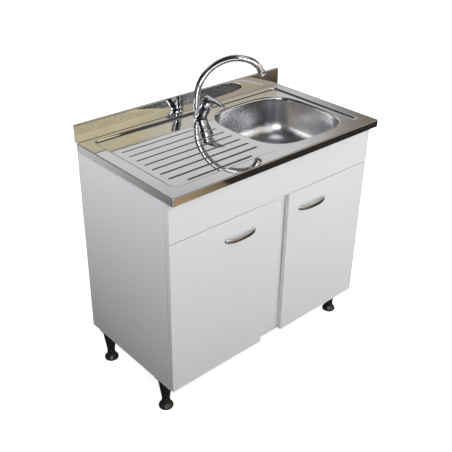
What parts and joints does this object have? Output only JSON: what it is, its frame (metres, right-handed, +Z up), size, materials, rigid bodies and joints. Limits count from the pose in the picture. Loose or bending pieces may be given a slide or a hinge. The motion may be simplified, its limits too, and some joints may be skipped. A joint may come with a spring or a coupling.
{
  "type": "kitchen sink unit",
  "caption": "Base cabinet with hinged doors under a pressed stainless sink top with bowl, grooved drainer, upstand and swan-neck lever tap.",
  "frame": {"origin": "on the floor, under the middle of the sink top's width and depth", "axes": "+Z up, +X along the front from the drainer end to the bowl end, +Y to the wall behind, so the doors face -Y"},
  "size_m": [0.9, 0.5, 1.0674],
  "materials": {
    "deck_steel": "bright polished sheet with soft reflections",
    "bowl_steel": "satin sheet",
    "chrome": "polished",
    "satin_metal": "satin chrome",
    "zinc": "nickelled",
    "brass": "turned",
    "white_board": "white laminated board, satin",
    "white_plastic": "moulded, satin",
    "black_plastic": "moulded, glossy",
    "rubber": "matt"
  },
  "bodies": {
    "cabinet": {"sink_deck": "deck_steel", "sink_bowl": "bowl_steel", "strainer_cup": "bowl_steel", "waste_gasket": "rubber", "waste_locknut": "white_plastic", "tailpiece_nut": "white_plastic", "inlet_pipe": "white_plastic", "trap_nut": "white_plastic", "trap_bottle": "white_plastic", "trap_cup": "white_plastic", "outlet_nut": "white_plastic", "outlet_pipe": "white_plastic", "tap_gasket": "rubber", "tap_body": "chrome", "tap_cartridge": "white_plastic", "cartridge_cap": "chrome", "tap_shank": "brass", "tap_clamp": "zinc", "tap_nut": "brass", "bottom_panel": "white_board", "front_rail": "white_board", "centre_stile": "white_board", "back_rail_top": "white_board", "back_rail_low": "white_board", "apron": "white_board", "left_side": "white_board", "right_side": "white_board", "left_lower_hinge_arm": "zinc", "left_upper_hinge_arm": "zinc", "right_lower_hinge_arm": "zinc", "right_upper_hinge_arm": "zinc", "left_front_leg": "black_plastic", "left_back_leg": "black_plastic", "right_front_leg": "black_plastic", "right_back_leg": "black_plastic"},
    "left_leaf": {"left_door": "white_board", "left_handle": "satin_metal", "left_lower_hinge_cup": "zinc", "left_upper_hinge_cup": "zinc"},
    "right_leaf": {"right_door": "white_board", "right_handle": "satin_metal", "right_lower_hinge_cup": "zinc", "right_upper_hinge_cup": "zinc"},
    "spout": {"tap_spout": "chrome", "spout_collar": "chrome", "aerator": "chrome"},
    "carrier": {"cartridge_carrier": "white_plastic"},
    "lever": {"lever_stem": "brass", "tap_lever": "chrome"},
    "basket": {"basket_plug": "bowl_steel", "basket_seal": "rubber"},
    "left_front_screw_foot": {"left_front_foot": "black_plastic"},
    "left_back_screw_foot": {"left_back_foot": "black_plastic"},
    "right_front_screw_foot": {"right_front_foot": "black_plastic"},
    "right_back_screw_foot": {"right_back_foot": "black_plastic"}
  },
  "joints": [
    {"name": "left_door_hinge", "type": "hinge", "parent": "cabinet", "child": "left_leaf", "pos_m": [-0.4385, -0.213, 0.405], "axis": [0, 0, -1], "range_deg": [0, 100]},
    {"name": "right_door_hinge", "type": "hinge", "parent": "cabinet", "child": "right_leaf", "pos_m": [0.4385, -0.213, 0.405], "axis": [0, 0, 1], "range_deg": [0, 100]},
    {"name": "spout_swivel", "type": "hinge", "parent": "cabinet", "child": "spout", "pos_m": [0.002, 0.19, 0.8813], "axis": [0, 0, 1], "range_deg": [-118, 42]},
    {"name": "lever_turn", "type": "hinge", "parent": "cabinet", "child": "carrier", "pos_m": [0.002, 0.1335, 0.90586], "axis": [0, -0.5, 0.866], "range_deg": [-45, 45]},
    {"name": "lever_lift", "type": "hinge", "parent": "carrier", "child": "lever", "pos_m": [0.002, 0.1335, 0.90586], "axis": [-1, 0, 0], "range_deg": [0, 25]},
    {"name": "basket_lift", "type": "slide", "parent": "cabinet", "child": "basket", "axis": [0, 0, 1], "range_m": [0, 0.06]},
    {"name": "left_front_foot_screw", "type": "slide", "parent": "cabinet", "child": "left_front_screw_foot", "axis": [0, 0, -1], "range_m": [0, 0.02]},
    {"name": "left_back_foot_screw", "type": "slide", "parent": "cabinet", "child": "left_back_screw_foot", "axis": [0, 0, -1], "range_m": [0, 0.02]},
    {"name": "right_front_foot_screw", "type": "slide", "parent": "cabinet", "child": "right_front_screw_foot", "axis": [0, 0, -1], "range_m": [0, 0.02]},
    {"name": "right_back_foot_screw", "type": "slide", "parent": "cabinet", "child": "right_back_screw_foot", "axis": [0, 0, -1], "range_m": [0, 0.02]}
  ]
}
